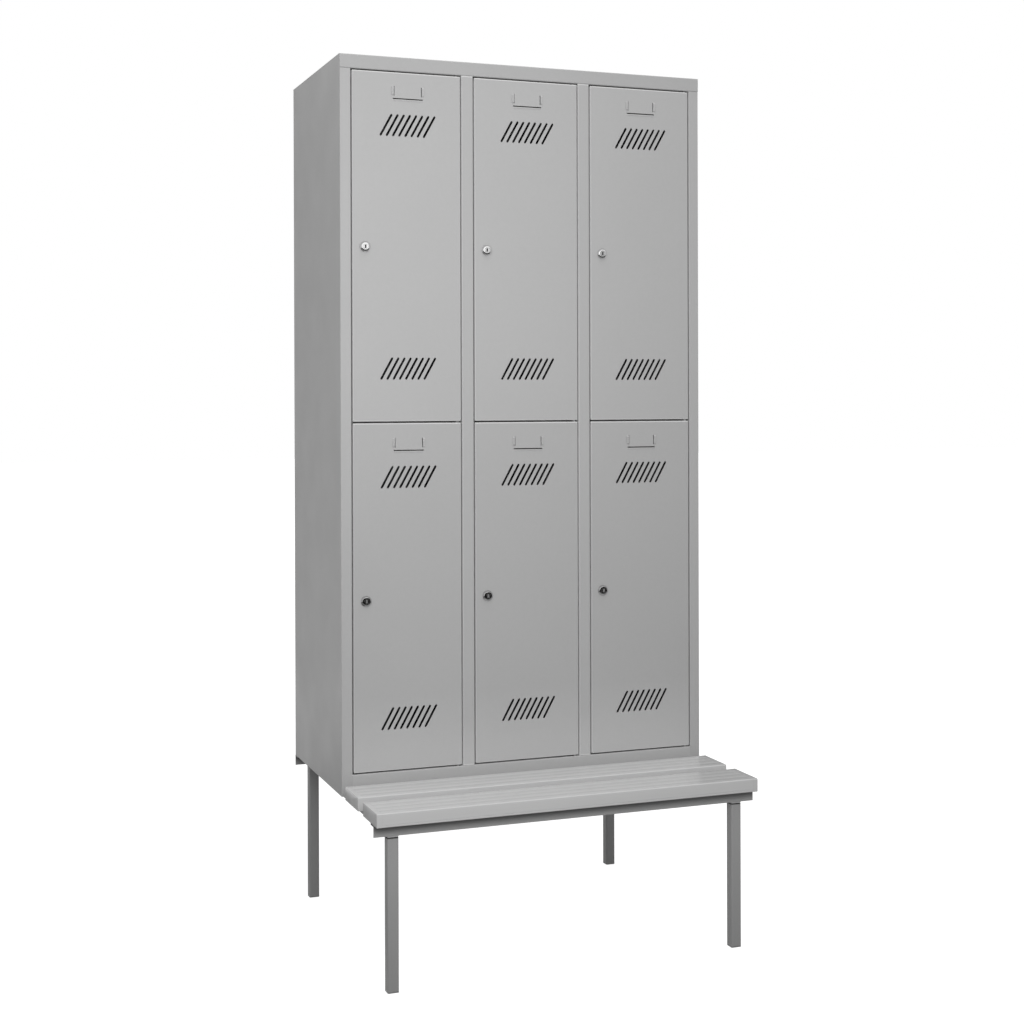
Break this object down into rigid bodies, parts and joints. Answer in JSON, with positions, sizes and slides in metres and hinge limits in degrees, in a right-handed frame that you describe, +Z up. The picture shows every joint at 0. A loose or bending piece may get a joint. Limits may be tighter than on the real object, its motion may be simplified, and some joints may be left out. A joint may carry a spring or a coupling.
{
  "type": "locker with bench",
  "caption": "Steel clothes locker with vented hinged doors and cam locks, standing on a framed base that carries slatted bench boards in front.",
  "frame": {"origin": "middle of the floor under the whole object", "axes": "+Z up, -Y the front with the doors and the bench, +X to the right seen from the front"},
  "size_m": [0.9, 0.762, 2.0383],
  "materials": {
    "cabinet_paint": "satin",
    "frame_paint": "satin",
    "slat": "semi-gloss",
    "chrome": "polished",
    "zinc": "zinc plated",
    "foot_plastic": "matt"
  },
  "bodies": {
    "cabinet": {"back_bar": "frame_paint", "back_left_foot_cap": "foot_plastic", "back_left_leg": "frame_paint", "back_panel": "cabinet_paint", "back_right_foot_cap": "foot_plastic", "back_right_leg": "frame_paint", "back_slat": "slat", "bottom_panel": "cabinet_paint", "front_bar": "frame_paint", "front_left_foot_cap": "foot_plastic", "front_left_leg": "frame_paint", "front_right_foot_cap": "foot_plastic", "front_right_leg": "frame_paint", "front_slat": "slat", "left_cross_bar": "frame_paint", "left_foot_pivot": "zinc", "left_middle_pivot": "zinc", "left_shelf": "cabinet_paint", "left_side_panel": "cabinet_paint", "left_top_pivot": "zinc", "lower_left_hanger_rail": "zinc", "lower_middle_hanger_rail": "zinc", "lower_right_hanger_rail": "zinc", "middle_foot_pivot": "zinc", "middle_middle_pivot": "zinc", "middle_shelf": "cabinet_paint", "middle_stile_1": "cabinet_paint", "middle_stile_2": "cabinet_paint", "middle_top_pivot": "zinc", "partition_1": "cabinet_paint", "partition_2": "cabinet_paint", "right_cross_bar": "frame_paint", "right_foot_pivot": "zinc", "right_middle_pivot": "zinc", "right_shelf": "cabinet_paint", "right_side_panel": "cabinet_paint", "right_top_pivot": "zinc", "top_panel": "cabinet_paint", "upper_left_hanger_rail": "zinc", "upper_middle_hanger_rail": "zinc", "upper_right_hanger_rail": "zinc"},
    "lower_left_leaf": {"lower_left_door": "cabinet_paint", "lower_left_lock_body": "chrome"},
    "lower_left_cam": {"lower_left_lock_plug": "chrome"},
    "lower_middle_leaf": {"lower_middle_door": "cabinet_paint", "lower_middle_lock_body": "chrome"},
    "lower_middle_cam": {"lower_middle_lock_plug": "chrome"},
    "lower_right_leaf": {"lower_right_door": "cabinet_paint", "lower_right_lock_body": "chrome"},
    "lower_right_cam": {"lower_right_lock_plug": "chrome"},
    "upper_left_leaf": {"upper_left_door": "cabinet_paint", "upper_left_lock_body": "chrome"},
    "upper_left_cam": {"upper_left_lock_plug": "chrome"},
    "upper_middle_leaf": {"upper_middle_door": "cabinet_paint", "upper_middle_lock_body": "chrome"},
    "upper_middle_cam": {"upper_middle_lock_plug": "chrome"},
    "upper_right_leaf": {"upper_right_door": "cabinet_paint", "upper_right_lock_body": "chrome"},
    "upper_right_cam": {"upper_right_lock_plug": "chrome"}
  },
  "joints": [
    {"name": "lower_left_door_hinge", "type": "hinge", "parent": "cabinet", "child": "lower_left_leaf", "pos_m": [-0.1712, -0.0835, 0.80537], "axis": [0, 0, 1], "range_deg": [0, 110]},
    {"name": "lower_left_lock_turn", "type": "hinge", "parent": "lower_left_leaf", "child": "lower_left_cam", "pos_m": [-0.3919, -0.089, 0.79777], "axis": [0, 1, 0], "range_deg": [0, 90]},
    {"name": "lower_middle_door_hinge", "type": "hinge", "parent": "cabinet", "child": "lower_middle_leaf", "pos_m": [0.1214, -0.0835, 0.80537], "axis": [0, 0, 1], "range_deg": [0, 110]},
    {"name": "lower_middle_lock_turn", "type": "hinge", "parent": "lower_middle_leaf", "child": "lower_middle_cam", "pos_m": [-0.0993, -0.089, 0.79777], "axis": [0, 1, 0], "range_deg": [0, 90]},
    {"name": "lower_right_door_hinge", "type": "hinge", "parent": "cabinet", "child": "lower_right_leaf", "pos_m": [0.414, -0.0835, 0.80537], "axis": [0, 0, 1], "range_deg": [0, 110]},
    {"name": "lower_right_lock_turn", "type": "hinge", "parent": "lower_right_leaf", "child": "lower_right_cam", "pos_m": [0.1933, -0.089, 0.79777], "axis": [0, 1, 0], "range_deg": [0, 90]},
    {"name": "upper_left_door_hinge", "type": "hinge", "parent": "cabinet", "child": "upper_left_leaf", "pos_m": [-0.1712, -0.0835, 1.60443], "axis": [0, 0, 1], "range_deg": [0, 110]},
    {"name": "upper_left_lock_turn", "type": "hinge", "parent": "upper_left_leaf", "child": "upper_left_cam", "pos_m": [-0.3919, -0.089, 1.60333], "axis": [0, 1, 0], "range_deg": [0, 90]},
    {"name": "upper_middle_door_hinge", "type": "hinge", "parent": "cabinet", "child": "upper_middle_leaf", "pos_m": [0.1214, -0.0835, 1.60443], "axis": [0, 0, 1], "range_deg": [0, 110]},
    {"name": "upper_middle_lock_turn", "type": "hinge", "parent": "upper_middle_leaf", "child": "upper_middle_cam", "pos_m": [-0.0993, -0.089, 1.60333], "axis": [0, 1, 0], "range_deg": [0, 90]},
    {"name": "upper_right_door_hinge", "type": "hinge", "parent": "cabinet", "child": "upper_right_leaf", "pos_m": [0.414, -0.0835, 1.60443], "axis": [0, 0, 1], "range_deg": [0, 110]},
    {"name": "upper_right_lock_turn", "type": "hinge", "parent": "upper_right_leaf", "child": "upper_right_cam", "pos_m": [0.1933, -0.089, 1.60333], "axis": [0, 1, 0], "range_deg": [0, 90]}
  ]
}
